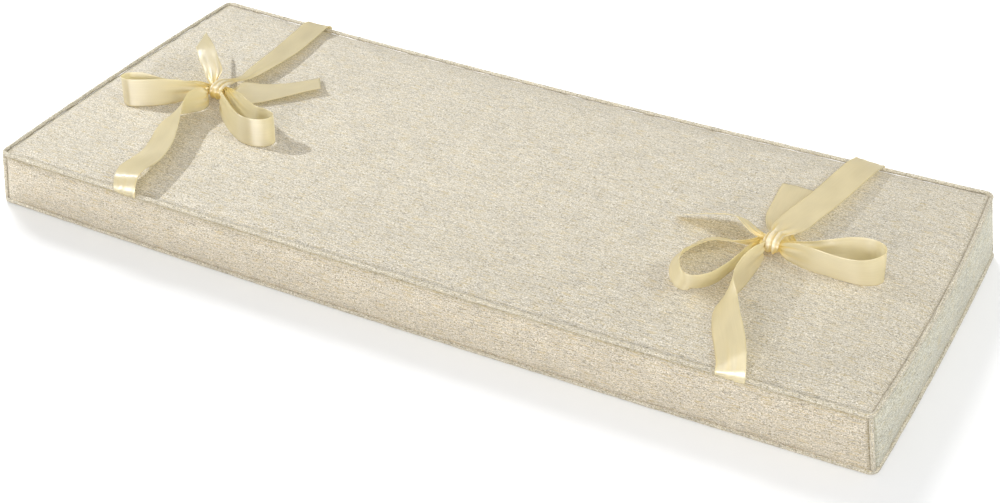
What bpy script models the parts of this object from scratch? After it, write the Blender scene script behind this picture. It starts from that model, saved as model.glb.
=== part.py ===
"""A box-edged bench cushion with corded seams, and two satin ribbon bows tied across its top.

The cushion lies on its back: +X runs along its length, +Y points to its back edge, +Z is up, and the origin is
the middle of its underside. Sizes are in metres, and the ribbon tables are in millimetres.
"""

import math

import bmesh
import bpy
import numpy as np

# Driving sizes.
LENGTH = 1.10
DEPTH = 0.46
THICK = 0.075
CROWN = 0.0032  # how far the top panel stands above its seams
SIDE_SWELL = 0.003  # how far the boxing swells between its two welts
WELT_RADIUS = 0.00275
RIBBON_THICK = 0.001

# How far the panels pull in from the box's edges to make room for the welts.
TOP_INSET = 0.0056
BOTTOM_INSET = 0.0075
BOTTOM_RISE = 0.0095
CORNER_CUT = 0.0095
CORNER_INSET = {"top": 0.0066, "side": 0.0051, "bottom": 0.0086}
WELT_CORNER_RADIUS = 0.008
BOTTOM_WELT_HEIGHT = 0.0033
POST_WELT_INSET = 0.0023
POST_WELT_CLEARANCE = 0.0039

HALF_L = LENGTH / 2
HALF_D = DEPTH / 2
MM = 0.001
TINY = 1e-6

# Each corner of the cushion against the plain box, in mm: the top is drawn in and the underside spreads.
# side, end, level, dx, dy, dz
CORNER_SHIFT = (
    (-1, -1, 1, 0.1, -4.6, -2.5),
    (-1, -1, 0, -10.6, -3.0, 0.0),
    (-1, 1, 1, 3.4, 5.2, 1.1),
    (-1, 1, 0, -5.0, 2.0, 0.0),
    (1, -1, 1, -1.3, -2.5, -0.5),
    (1, -1, 0, 8.9, 1.6, 0.0),
    (1, 1, 1, -7.5, 2.3, 0.2),
    (1, 1, 0, 7.5, -6.8, 0.0),
)

# How far the middle of each edge leaves a straight line, in metres.
FRONT_BOW = 0.006
LEFT_BOW = 0.0045
RIGHT_BOW = 0.008  # of the top; the underside's is lower
RIGHT_LOW_BOW = 0.0033
BACK_BOW = -0.005
BACK_SAG = 0.004

# Where the grid lines of the body run, measured in from each edge and then as shares of the half size.
X_LINES_IN = (CORNER_CUT, 0.030, 0.075)
Y_LINES_IN = (CORNER_CUT, 0.022, 0.050)
X_SHARES = (0.0, 0.14, 0.28, 0.42, 0.56, 0.70)
Y_SHARES = (0.0, 0.20, 0.40, 0.60)
Z_LINES = (BOTTOM_RISE, 0.024, 0.040, 0.056, THICK - TOP_INSET)

# Colours: (red, green, blue) in linear light, and roughness.
CLOTH_TOP = ((0.72, 0.66, 0.55), 0.95)
CLOTH_WELT = ((0.66, 0.58, 0.45), 0.95)
SATIN = ((0.88, 0.77, 0.47), 0.35)

# The middle of each bow's knot on the cushion, in mm.
LEFT_KNOT = (-389.0, -5.0)
RIGHT_KNOT = (360.0, -9.0)

# Every ribbon table has one row for each bend or fold, in mm and degrees. x and y are measured from the bow's
# knot, and z from the plane of the top welt. turn is the plan direction from the ribbon's first edge to its
# second, lift is that direction's rise, and width is how wide the gathered ribbon is there.
# x, y, z, turn, lift, width

# A back tie comes over the knot, goes down its front and under it, and leaves it upwards at the back.
KNOT_WRAP = (
    (0, 15.5, 20, 0, 0, 16),
    (0, 8.5, 22.6, 0, 0, 15),
    (0, 1, 23.2, 0, 0, 15),
    (0, -6.4, 22, 0, 0, 15),
    (0, -9.9, 17.5, 0, 0, 15),
    (0, -9.8, 12, 0, 0, 15),
    (0, -5.6, 8, 0, 0, 14),
    (0, 2.5, 7.8, 0, 0, 12),
    (-1, 8.4, 9.2, 0, 0, 9),
    (-3.5, 10.8, 11.8, 0, 40, 8.5),
    (-9, 11, 13.2, 0, 90, 8.5),
)
# A front tie passes through the wrap on edge, from the left to the right.
FRONT_LANE = (
    (-11.5, -11.6, 16.4, 60, 90, 12),
    (-9.8, -5.6, 16, 60, 90, 8),
    (0, -4.6, 15.4, 60, 90, 8),
    (9.4, -5.8, 15.6, 60, 90, 8.5),
)
# The far side of a right loop comes back through the wrap near its top, and leaves it at the left.
UPPER_LANE = (
    (10.5, 0, 19, 90, 10, 9),
    (0, 1.8, 19, 90, 0, 8),
    (-9, 3.2, 19.6, 90, 0, 8.5),
)
# The near side of a left loop comes back through the wrap near its floor, and leaves it at the right.
LOWER_LANE = (
    (-9.5, 0.3, 12.4, 90, 8, 8.5),
    (0, 2, 12.2, 90, 0, 8),
    (9.5, 4, 12, 90, 0, 9),
)

LEFT_FRONT_TIE = (
    # root in the front seam, over the welt and back along the top
    (33, -237.2, -2.4, -2, 0, 32),
    (33, -237.6, 1.5, -2, 2, 32),
    (32, -235, 8, -2, 4, 33),
    (30, -228, 15.5, -3, 8, 35),
    (28, -214, 20.5, -4, 9, 38),
    (29, -190, 20, 0, 6, 38),
    (23, -161, 18.5, 10, 14, 38),
    (12, -133, 18.5, 20, 23, 38),
    (-2, -104, 19.5, 22, 32, 38),
    # turns on edge, and gathers into the knot
    (-11, -80, 20.4, 12, 44, 38),
    (-11, -63, 21.2, 4, 60, 38),
    (-7, -49, 21.4, 0, 76, 37),
    (-2.5, -38, 19.6, 0, 88, 32),
    (-1.5, -27, 16.4, 0, 94, 24),
    (-5, -18.5, 15.8, 30, 92, 16),
    *FRONT_LANE,
    # near side of the right loop
    (12.5, -14, 16.8, 0, 88, 18),
    (19, -25, 18.8, 0, 82, 26),
    (31, -38, 20.8, 0, 80, 32),
    (49, -54, 22.8, 0, 80, 36),
    (70, -70, 23.6, 0, 84, 38),
    (90, -81, 23.8, 0, 88, 38),
    (110, -82, 23.8, 0, 90, 38),
    (124, -74, 23.8, 0, 90, 38),
    (126, -61, 23.8, 0, 90, 38),
    # far side of the right loop
    (113, -54, 23.8, 30, 90, 38),
    (94, -54, 23.6, 50, 84, 38),
    (70, -44, 22.6, 60, 74, 36),
    (45, -26, 20.4, 70, 62, 28),
    (22, -8, 19, 85, 40, 16),
    *UPPER_LANE,
    # free end, standing up towards the back
    (-14, 8.5, 21.6, 76, -6, 12),
    (-28, 27, 25, 68, -26, 28),
    (-47, 44, 31, 60, -34, 37),
    (-62, 57, 36, 57, -36, 38),
    (-75, 67, 39.5, 57, -36, 38),
)

LEFT_BACK_TIE = (
    # root in the back seam, over the welt and forward along the top
    (-5, 239.4, -7, -2, 0, 36),
    (-5, 242.6, -2.8, -2, 0, 36),
    (-4, 240, 3.6, -1, 2, 37),
    (-3, 229, 7.4, 0, 4, 38),
    (0, 207, 8.6, 0, 4, 38),
    (7, 144, 10.6, 0, 6, 38),
    (8, 84, 12.4, -4, 10, 34),
    (6, 46, 12.8, -4, 12, 25),
    (2, 28, 16.4, 0, 6, 17),
    *KNOT_WRAP,
    # far side of the left loop
    (-16, 4.5, 13.4, 0, 90, 9),
    (-26, -10, 16.6, 0, 90, 20),
    (-39, -28, 18.8, 0, 88, 28),
    (-57, -41, 21.4, 0, 90, 33),
    (-80, -48, 23.8, 0, 90, 38),
    (-98, -57, 23.8, 0, 90, 38),
    # near side of the left loop
    (-101, -67, 23.8, 0, 90, 38),
    (-90, -72, 23.8, 0, 90, 38),
    (-70, -63, 23.8, 0, 90, 38),
    (-50, -47, 23, 30, 86, 37),
    (-32, -28, 19.8, 60, 80, 28),
    (-19, -10.5, 15.5, 80, 50, 14),
    *LOWER_LANE,
    # free end, nearly flat on the top panel
    (16, 6, 12.8, 105, 8, 17),
    (26, 8, 14.6, 120, 17, 34),
    (38, 15, 14, 132, 17, 38),
    (52, 30, 11.6, 134, 6, 38),
    (67, 48, 10.2, 134, -3, 38),
    (82, 67, 9.8, 134, -8, 38),
    (97, 85, 9.8, 134, -9, 38),
)

RIGHT_FRONT_TIE = (
    # root in the front seam, over the welt and back along the top
    (43, -231.6, -1.4, -3, -2, 33),
    (43, -231.9, 2.5, -3, 2, 33),
    (42, -229.2, 8, -2, 12, 33),
    (38, -218.5, 14.5, 4, 27, 34),
    (27, -196, 17.6, 20, 38, 37),
    (11, -167, 19.4, 26, 45, 38),
    (-1, -140, 20.5, 16, 52, 38),
    # turns over on edge, and gathers into the knot
    (-7, -121, 22.8, 6, 70, 38),
    (-5, -102, 23.6, 4, 92, 38),
    (-4, -78, 23.8, 4, 97, 38),
    (-2.5, -54, 22.6, 4, 95, 36),
    (-1, -34, 19.8, 4, 92, 29),
    (-3.5, -20.5, 17.2, 30, 90, 20),
    *FRONT_LANE,
    # near side of the right loop, whose top leans outwards
    (16.5, -11.5, 16.8, 90, 92, 19),
    (30, -17, 20, 90, 98, 29),
    (48, -22, 22.8, 90, 104, 37),
    (72, -24, 22.8, 90, 107, 38),
    (90, -25, 23, 90, 107, 38),
    (108, -22, 23, 80, 104, 38),
    (121, -13, 23.4, 70, 100, 38),
    (127, -1, 23.6, 60, 94, 38),
    # far side of the right loop
    (122, 11, 23.8, 60, 90, 38),
    (107, 17, 23.6, 70, 88, 38),
    (87, 12, 23, 80, 84, 38),
    (67, 2, 21.2, 90, 78, 34),
    (46, -4, 18.8, 90, 66, 26),
    (26, -3, 18, 90, 44, 17),
    *UPPER_LANE,
    # free end, with its near edge raised
    (-15, 2.2, 20, 88, -4, 11),
    (-23, 5, 21, 96, -14, 20),
    (-33, 12, 22, 102, -22, 30),
    (-45, 20, 22.6, 106, -28, 37),
    (-58, 23, 22, 108, -32, 38),
    (-77, 19.4, 20.2, 108, -33, 38),
    (-95, 13, 18, 108, -32, 38),
    (-110, 6, 16, 108, -31, 38),
)

RIGHT_BACK_TIE = (
    # root in the back seam, over the welt and forward along the top
    (34, 243.4, -7, -3, 0, 36),
    (34, 245.8, -3, -4, 0, 36),
    (34, 245, 1.8, -4, -1, 36),
    (34, 239.5, 4.8, -6, -2, 36),
    (34, 230, 7.6, -8, -2, 37),
    (32, 208, 12, -8, -2, 38),
    (20, 112, 17, -8, 0, 38),
    (12, 70, 18.5, -8, 0, 38),
    (6.5, 38, 19.5, -8, 0, 37),
    (2.5, 25, 20.2, -6, 0, 29),
    *KNOT_WRAP,
    # far side of the left loop, which leans towards the front
    (-16, 4.5, 13, -20, 84, 9),
    (-27, -9, 14.6, -60, 52, 18),
    (-42, -15.5, 15, -66, 33, 32),
    (-59, -21, 15, -66, 27, 38),
    (-71, -41, 16.6, -50, 36, 38),
    (-77, -70, 19.8, -36, 44, 38),
    (-74, -98, 23, -36, 62, 38),
    (-63, -117, 23.6, -50, 62, 38),
    # near side of the left loop
    (-50, -124, 23, -70, 56, 38),
    (-39, -118, 23, -60, 56, 38),
    (-31, -106, 22.4, -30, 62, 38),
    (-24, -90, 22.6, -12, 67, 38),
    (-20.5, -68, 21.6, -12, 68, 36),
    (-18.5, -40, 18.6, -5, 70, 27),
    (-18, -15, 14.6, 50, 56, 13),
    *LOWER_LANE,
    # free end, which turns back under the strap and lies on the top panel
    (15.5, 8, 11.4, 130, 0, 11),
    (16, 16, 10.6, 190, 0, 13),
    (9, 24, 9.6, 235, 0, 17),
    (-2, 36, 8.6, 225, 0, 27),
    (-12, 62, 7.4, 200, 0, 37),
    (-17, 100, 6.8, 190, 0, 38),
    (-21, 140, 6.6, 188, 0, 38),
)

# How far the slanted cut of each free end runs, in mm: positive leaves the second edge longer.
FREE_END_CUT = {
    "left_front_tie": 56,
    "left_back_tie": 10,
    "right_front_tie": 16,
    "right_back_tie": 4,
}

STRIP_STEP = 0.011  # longest stretch of ribbon between two rows of points
STRIP_COLUMNS = 3  # faces across the ribbon


def clear_scene():
    """Removes whatever the scene holds."""
    for obj in list(bpy.data.objects):
        bpy.data.objects.remove(obj, do_unlink=True)


def make_material(name, finish):
    """A Principled material from a colour and a roughness."""
    colour, roughness = finish
    material = bpy.data.materials.new(name)
    material.use_nodes = True
    shader = material.node_tree.nodes["Principled BSDF"]
    shader.inputs["Base Color"].default_value = (*colour, 1.0)
    shader.inputs["Roughness"].default_value = roughness
    shader.inputs["Metallic"].default_value = 0.0
    return material


def add_object(name, data, finish, collection):
    """Links a mesh or curve as one named sub-part with its own material."""
    obj = bpy.data.objects.new(name, data)
    obj.data.materials.append(make_material(name + "_finish", finish))
    collection.objects.link(obj)
    return obj


def corner_shift(u, v, w):
    """The corners' shifts, blended over the box. u and v run from -1 to 1 and w from 0 to 1."""
    total = np.zeros(3)
    for side, end, level, *shift in CORNER_SHIFT:
        share = (1 + side * u) / 2 * (1 + end * v) / 2 * (w if level else 1 - w)
        total += share * np.array(shift)
    return total * MM


def cover_point(x, y, z):
    """Where a point of the plain box lies on the sewn and filled cushion."""
    u, v, w = x / HALF_L, y / HALF_D, z / THICK
    front, back = max(-v, 0) ** 2, max(v, 0) ** 2
    left, right = max(-u, 0) ** 2, max(u, 0) ** 2
    along_x, along_y = 1 - u * u, 1 - v * v
    swell = SIDE_SWELL * 4 * w * (1 - w)
    right_bow = RIGHT_LOW_BOW + (RIGHT_BOW - RIGHT_LOW_BOW) * w
    dx = along_y * (right_bow * right - LEFT_BOW * left) + swell * (right - left) * (1 - v**8)
    dy = along_x * (BACK_BOW * back - FRONT_BOW * front) + swell * (back - front) * (1 - u**8)
    dz = w * (CROWN * (1 - u**8) * (1 - v**6) - BACK_SAG * along_x * back)
    return np.array((x + dx, y + dy, z + dz)) + corner_shift(u, v, w)


def cut_lines(half, lines_in, shares):
    """Grid line positions across one direction, from its edge distances and shares of the half size."""
    ends = [half - inset for inset in lines_in]
    middle = [share * half for share in shares]
    positive = ends + middle
    return sorted({round(sign * p, 6) for p in positive for sign in (-1, 1)})


def build_body(collection):
    """The filled cushion: one closed solid with crown, drawn-in sides and seats for the welts."""
    bm = bmesh.new()
    bmesh.ops.create_cube(bm, size=1.0)
    bmesh.ops.scale(bm, vec=(LENGTH, DEPTH, THICK), verts=bm.verts)
    bmesh.ops.translate(bm, vec=(0, 0, THICK / 2), verts=bm.verts)
    planes = [((p, 0, 0), (1, 0, 0)) for p in cut_lines(HALF_L, X_LINES_IN, X_SHARES)]
    planes += [((0, p, 0), (0, 1, 0)) for p in cut_lines(HALF_D, Y_LINES_IN, Y_SHARES)]
    planes += [((0, 0, p), (0, 0, 1)) for p in Z_LINES]
    for point, normal in planes:
        geometry = bm.verts[:] + bm.edges[:] + bm.faces[:]
        bmesh.ops.bisect_plane(bm, geom=geometry, plane_co=point, plane_no=normal)
    for vertex in bm.verts:
        x, y, z = vertex.co
        level = "top" if z > THICK - TINY else "bottom" if z < TINY else "side"
        inset = {"top": TOP_INSET, "side": 0.0, "bottom": BOTTOM_INSET}[level]
        at_side = abs(x) > HALF_L - TINY
        at_end = abs(y) > HALF_D - TINY
        if at_side and at_end:
            inset = CORNER_INSET[level]
        if at_side:
            x -= math.copysign(inset, x)
        if at_end:
            y -= math.copysign(inset, y)
        vertex.co = cover_point(x, y, z)
    mesh = bpy.data.meshes.new("cushion_body")
    bm.to_mesh(mesh)
    bm.free()
    mesh.shade_smooth()
    mesh.set_sharp_from_angle(angle=math.radians(40))
    return add_object("cushion_body", mesh, CLOTH_TOP, collection)


def welt_outline(long_steps=18, short_steps=8, corner_steps=3):
    """Plan points of a welt that runs round a panel, with rounded corners."""
    radius = WELT_CORNER_RADIUS
    reach_x, reach_y = HALF_L - radius, HALF_D - radius
    corners = ((1, -1, -90), (1, 1, 0), (-1, 1, 90), (-1, -1, 180))
    points = []
    for number, (side, end, start) in enumerate(corners):
        for step in range(corner_steps + 1):
            angle = math.radians(start + 90 * step / corner_steps)
            x = side * reach_x + radius * math.cos(angle)
            y = end * reach_y + radius * math.sin(angle)
            points.append((x, y))
        steps = short_steps if number % 2 == 0 else long_steps
        next_side, next_end, next_start = corners[(number + 1) % 4]
        angle = math.radians(next_start)
        goal_x = next_side * reach_x + radius * math.cos(angle)
        goal_y = next_end * reach_y + radius * math.sin(angle)
        here_x, here_y = points[-1]
        for step in range(1, steps):
            share = step / steps
            points.append((here_x + (goal_x - here_x) * share, here_y + (goal_y - here_y) * share))
    return points


def build_cord(name, points, closed, collection):
    """A covered cord as a bevelled curve through its centre points."""
    curve = bpy.data.curves.new(name, "CURVE")
    curve.dimensions = "3D"
    curve.bevel_depth = WELT_RADIUS
    curve.bevel_resolution = 2
    curve.use_fill_caps = not closed
    spline = curve.splines.new("POLY")
    spline.points.add(len(points) - 1)
    for target, point in zip(spline.points, points):
        target.co = (*point, 1.0)
    spline.use_cyclic_u = closed
    return add_object(name, curve, CLOTH_WELT, collection)


def build_welts(collection):
    """The welts round the two panels, and the four up the corners of the boxing."""
    outline = welt_outline()
    for name, height in (("welt_top", THICK), ("welt_bottom", BOTTOM_WELT_HEIGHT)):
        build_cord(name, [cover_point(x, y, height) for x, y in outline], True, collection)
    low = BOTTOM_WELT_HEIGHT + POST_WELT_CLEARANCE
    high = THICK - POST_WELT_CLEARANCE
    heights = np.linspace(low, high, 5)
    for end_name, end in (("front", -1), ("back", 1)):
        for side_name, side in (("left", -1), ("right", 1)):
            x = side * (HALF_L - POST_WELT_INSET)
            y = end * (HALF_D - POST_WELT_INSET)
            points = [cover_point(x, y, z) for z in heights]
            build_cord(f"welt_{end_name}_{side_name}", points, False, collection)


def smooth_rows(rows, step):
    """Rows read from a centripetal Catmull-Rom curve through the table's rows, at most a step apart."""
    table = np.array(rows, float)
    table = np.vstack((2 * table[0] - table[1], table, 2 * table[-1] - table[-2]))
    gaps = np.linalg.norm(np.diff(table[:, :3], axis=0), axis=1)
    knots = np.concatenate(([0], np.cumsum(np.sqrt(gaps))))
    result = [table[1]]
    for i in range(1, len(table) - 2):
        t0, t1, t2, t3 = knots[i - 1 : i + 3]
        p0, p1, p2, p3 = table[i - 1 : i + 3]
        count = max(1, math.ceil(gaps[i] / step))
        for n in range(1, count + 1):
            t = t1 + (t2 - t1) * n / count
            a1 = p0 + (p1 - p0) * (t - t0) / (t1 - t0)
            a2 = p1 + (p2 - p1) * (t - t1) / (t2 - t1)
            a3 = p2 + (p3 - p2) * (t - t2) / (t3 - t2)
            b1 = a1 + (a2 - a1) * (t - t0) / (t2 - t0)
            b2 = a2 + (a3 - a2) * (t - t1) / (t3 - t1)
            result.append(b1 + (b2 - b1) * (t - t1) / (t2 - t1))
    return np.array(result)


def ribbon_frames(rows, knot, step):
    """Centre, tangent, across direction and width of each row of a ribbon, in metres."""
    table = smooth_rows(np.array(rows, float), step / MM)
    offset = np.array((knot[0], knot[1], THICK / MM))
    centres = (table[:, :3] + offset) * MM
    tangents = np.gradient(centres, axis=0)
    tangents /= np.linalg.norm(tangents, axis=1)[:, None]
    turn, lift = np.radians(table[:, 3]), np.radians(table[:, 4])
    across = np.stack((np.cos(lift) * np.cos(turn), np.cos(lift) * np.sin(turn), np.sin(lift)), axis=1)
    across -= np.sum(across * tangents, axis=1)[:, None] * tangents
    across /= np.linalg.norm(across, axis=1)[:, None]
    return centres, tangents, across, table[:, 5] * MM


def build_ribbon(name, rows, knot, collection):
    """One tie: a strip that follows its table from the seam to its slanted free end."""
    centres, tangents, across, widths = ribbon_frames(rows, knot, STRIP_STEP)
    lengths = np.concatenate(([0], np.cumsum(np.linalg.norm(np.diff(centres, axis=0), axis=1))))
    cut = FREE_END_CUT[name] * MM
    fade = np.clip(1 - (lengths[-1] - lengths) / (2 * abs(cut)), 0, 1)
    last = len(centres) - 1
    bm = bmesh.new()
    bmesh.ops.create_grid(bm, x_segments=last, y_segments=STRIP_COLUMNS, size=0.5)
    for vertex in bm.verts:
        row = round((vertex.co.x + 0.5) * last)
        place = vertex.co.y * 2
        slant = tangents[row] * cut / 2 * place * fade[row]
        vertex.co = centres[row] + across[row] * widths[row] / 2 * place + slant
    mesh = bpy.data.meshes.new(name)
    bm.to_mesh(mesh)
    bm.free()
    mesh.shade_smooth()
    obj = add_object(name, mesh, SATIN, collection)
    solidify = obj.modifiers.new("cloth_thickness", "SOLIDIFY")
    solidify.thickness = RIBBON_THICK
    solidify.offset = 0.0
    return obj


def build_bows(collection):
    """The four ties: a front and a back one for each bow."""
    ties = (
        ("left_front_tie", LEFT_FRONT_TIE, LEFT_KNOT),
        ("left_back_tie", LEFT_BACK_TIE, LEFT_KNOT),
        ("right_front_tie", RIGHT_FRONT_TIE, RIGHT_KNOT),
        ("right_back_tie", RIGHT_BACK_TIE, RIGHT_KNOT),
    )
    for name, rows, knot in ties:
        build_ribbon(name, rows, knot, collection)


def main():
    clear_scene()
    collection = bpy.data.collections.new("bench_cushion")
    bpy.context.scene.collection.children.link(collection)
    build_body(collection)
    build_welts(collection)
    build_bows(collection)


main()
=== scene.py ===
"""The looks of a box-edged bench cushion with two satin ribbon bows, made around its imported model.

Sizes are in metres, and the ribbon tables are in millimetres and degrees, as in the model they dress.
"""

import math

import bpy
import numpy as np
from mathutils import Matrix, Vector


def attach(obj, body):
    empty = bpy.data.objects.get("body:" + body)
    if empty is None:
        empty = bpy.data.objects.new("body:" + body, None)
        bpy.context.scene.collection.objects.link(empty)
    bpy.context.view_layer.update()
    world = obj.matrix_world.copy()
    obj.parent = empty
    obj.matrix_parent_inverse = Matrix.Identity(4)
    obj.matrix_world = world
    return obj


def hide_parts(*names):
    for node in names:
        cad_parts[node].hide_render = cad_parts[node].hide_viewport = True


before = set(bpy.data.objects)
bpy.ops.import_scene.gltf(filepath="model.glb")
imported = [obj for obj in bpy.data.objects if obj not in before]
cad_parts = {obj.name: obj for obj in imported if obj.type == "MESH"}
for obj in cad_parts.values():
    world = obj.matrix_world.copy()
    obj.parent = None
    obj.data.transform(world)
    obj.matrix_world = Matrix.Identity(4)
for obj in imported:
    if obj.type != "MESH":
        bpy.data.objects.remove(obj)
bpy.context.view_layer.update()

# ---------------------------------------------------------------- driving sizes

LENGTH = 1.10
DEPTH = 0.46
THICK = 0.075
WELT_RADIUS = 0.00265
RIBBON_WIDTH = 0.038
RIBBON_THICK = 0.0004
HALF_L = LENGTH / 2
HALF_D = DEPTH / 2
MM = 0.001
TINY = 1e-6

# Each corner of the cushion against the plain box, in mm: the top is drawn in and the underside spreads.
# side, end, level, dx, dy, dz
CORNER_SHIFT = (
    (-1, -1, 1, 0.1, -4.6, -2.5),
    (-1, -1, 0, -10.6, -3.0, 0.0),
    (-1, 1, 1, 3.4, 5.2, 1.1),
    (-1, 1, 0, -5.0, 2.0, 0.0),
    (1, -1, 1, -1.3, -2.5, -0.5),
    (1, -1, 0, 8.9, 1.6, 0.0),
    (1, 1, 1, -7.5, 2.3, 0.2),
    (1, 1, 0, 7.5, -6.8, 0.0),
)

# How far the middle of each edge leaves a straight line.
FRONT_BOW = 0.006
LEFT_BOW = 0.0045
RIGHT_BOW = 0.008  # of the top; the underside's is lower
RIGHT_LOW_BOW = 0.0033
BACK_BOW = -0.005
BACK_SAG = 0.004

# The cover against its box.
CROWN = 0.0012  # before it is filled
FILL_CROWN = 0.0026  # how far the filling may push the cover out
FILL_PRESSURE = 4.0
FILL_FRAMES = 20
FILL_STIFFNESS = 20
FILL_BENDING = 0.3
CLOTH_EASE = 0.004  # how much larger the cloth is cut than its filling
STILL = 1e-9  # the least move that is told from none
SIDE_SWELL = 0.0015
CROWN_POWERS = (8, 6)  # how flat the crown and the swell stay, along the cushion and across it
TOP_SEAM = 0.0021  # how far the top seam lies inside the box's edge
BOTTOM_SEAM_IN = 0.0017
BOTTOM_SEAM_UP = 0.0024
POST_SEAM = 0.0040
SEAM_LINE = 0.0042  # how far the painted shade beside a seam reaches

# How dark the painted shade beside each seam is: on the top panel's four edges, then on the boxing.
PANEL_SHADES = {"left": 1.0, "right": 0.25, "front": 0.1, "back": 0.35}
BOXING_SHADES = {"top": 0.9, "bottom": 0.1, "corner": 0.7}
WELT_CORNER_RADIUS = 0.008
BOTTOM_WELT_HEIGHT = 0.0033
POST_WELT_INSET = 0.0023
POST_WELT_CLEARANCE = 0.0025

# The fineness of the meshes.
EDGE_LINES = (0.0, 0.0016, 0.0036, 0.0065, 0.0105, 0.0160)  # grid lines beside a seam
GRID_STEP = 0.0085  # and between them
WELT_STEP = 0.004
WELT_SIDES = 12
WELT_CORNER_POINTS = 7
RIBBON_STEP = 0.0022
RIBBON_COLUMNS = 22

# The six panels of the cover, and how far apart they are cut from the cloth, along it and across it.
TOP, BOTTOM, FRONT, BACK, RIGHT, LEFT = range(6)
CUT_APART = (2.0, 3.0)

# How uneven a covered cord is: its share of the radius, and the lengths of its waves.
WELT_UNEVEN = 0.025
WELT_WAVES = (0.071, 0.043, 0.029)

# The ribbon's wrap round its knot.
KNOT_HEIGHT = 15.5  # the knot's middle above the plane of the top welt, in mm
WRAP_REACH = 0.024  # how far from that middle the ribbon still goes round the knot
WRAP_FADE = 0.008
WRAP_FLAT = (0.7, 0.2)  # how level its width lies there, and over how much that fades
WRAP_SWELL = 0.0016
WRAP_ROUND = 1.6  # how much of the swell its edges lose
WRAP_WIDENING = 0.25
PAINTED_SHADE_FADE = 0.006

# The folds that it is gathered into, near the knot and in the wrap, with painted golden shade in them and
# painted cream highlights on the wrap's crests.
GATHER_PASSES = 14  # how far the folds run out beyond the gathers
FULL_GATHER = 0.35  # the share of its width gathered away where the folds are at their deepest
FOLD_EASE = 0.8
FOLD_DEPTH = 0.0011
WRAP_FOLD_DEPTH = 0.0012
FOLD_COUNT = 2.6  # folds across the ribbon
FINE_FOLD_COUNT = 4.3
FINE_FOLD_SHARE = 0.45
FOLD_RANGE = 1.2
FOLD_WAVE = 0.11  # how slowly the folds drift along the ribbon
FOLD_DRIFT = 0.9
FINE_FOLD_DRIFT = 1.7
VALLEY_EDGE = 0.2  # how far down its folds the painted golden shade of the valleys starts
VALLEY_GATHER = 0.5
CREST_EDGE = 0.4
MOUTH = (0.62, 0.3)  # the share of its width below which the ribbon, entering the knot, is painted in golden shade, and over how much that fades
PAINTED_SHADE_AND_HIGHLIGHT_SHARE = 0.8  # how much of the painted golden shade a fold takes, and of the painted cream highlight a crest

# The rest of the ribbon.
CAMBER = 0.0006
CAMBER_WAVE = 0.047
SELVEDGE = (0.90, 0.04)  # where the woven edge starts, and over how much it fades in

# The camera: its lens, its distance, how far round to the right and how far up it stands, and its aim.
CAMERA_LENS = 63.42
CAMERA_DISTANCE = 2.097
CAMERA_AZIMUTH = 28.07
CAMERA_ELEVATION = 33.43
CAMERA_TARGET = (0.0373, -0.0451, 0.0)

# ---------------------------------------------------------------- colours and lights

# Patches of noise along the weft of the cloth.
# length, width, detail, offset
CLOTH_DASHES = {
    "slub": (0.0024, 0.0009, 2.0, 0.0),
    "yarn": (0.0013, 0.0008, 1.0, 7.3),
    "cloud": (0.060, 0.030, 2.0, 3.1),
    "warm": (0.0180, 0.0014, 2.0, 11.7),
    "wobble": (0.012, 0.009, 1.0, 1.9),
    "streak": (0.026, 0.0017, 1.0, 15.1),
}
CLOTH_FLOAT = (0.0034, 0.0010)  # the length and width of one float of the weft
CLOTH_WOBBLE = 3.0
FLOAT_STARTS = 9.0  # how far apart, in floats, two rows may start
SLUB_COLOURS = (
    (0.30, (0.37, 0.325, 0.215)),
    (0.42, (0.52, 0.475, 0.385)),
    (0.52, (0.61, 0.568, 0.488)),
    (0.68, (0.69, 0.652, 0.588)),
)
THREAD_GREYS = ((0.0, 0.66), (0.24, 0.97), (0.75, 1.03), (1.0, 1.12))
FLECK_GREYS = ((0.28, 0.56), (0.50, 1.03), (0.72, 1.16))
FLECK_SHARE = 0.95
HEATHER_GREYS = ((0.34, 0.92), (0.66, 1.06))
OCHRE_PLACES = ((0.54, 0.0), (0.68, 1.0))
OCHRE = (0.54, 0.43, 0.22)
CLOUD_GREYS = ((0.30, 0.965), (0.70, 1.025))
# painted shade that darkens the cloth beside the welts, where their crevices fall in shade
SEAM_PAINTED_SHADE_COLOUR = (0.25, 0.21, 0.10)
SEAM_PAINTED_SHADE_SHARE = 0.9
CLOTH_FLOAT_HEIGHT = 0.4
CLOTH_BUMP = (0.25, 0.0005)  # strength and height
CLOTH_SURFACE = {
    "Roughness": 0.93,
    "Specular IOR Level": 0.18,
    "Sheen Weight": 0.12,
    "Sheen Roughness": 0.5,
}

# Painted shade: the boxing's front and right faces are tinted against the top panel's colour, for how the
# light falls on them.
FRONT_PAINTED_SHADE = (1.02, 1.0, 0.97)
RIGHT_PAINTED_SHADE = (0.98, 1.03, 1.03)

# name, tint, how much of the ochre shows
CUSHION_CLOTH = ("cushion_cloth", (1.0, 1.0, 1.0), 0.5)
WELT_CLOTH = ("welt_cloth", (0.96, 0.955, 0.92), 0.25)

# Patches of noise along the satin.
# length, width, detail, offset
SATIN_DASHES = {
    "floats": (0.040, 0.0006, 1.0, 0.0),
    "cloud": (0.035, 0.020, 2.0, 5.2),
}
SATIN_COLOURS = ((0.35, (0.62, 0.57, 0.42)), (0.65, (0.675, 0.625, 0.475)))
SATIN_CLOUD = ((0.3, 0.94), (0.7, 1.04))
SELVEDGE_COLOUR = (0.60, 0.50, 0.26)
SELVEDGE_SHARE = 0.5
SELVEDGE_HEIGHT = 1.5
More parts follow.
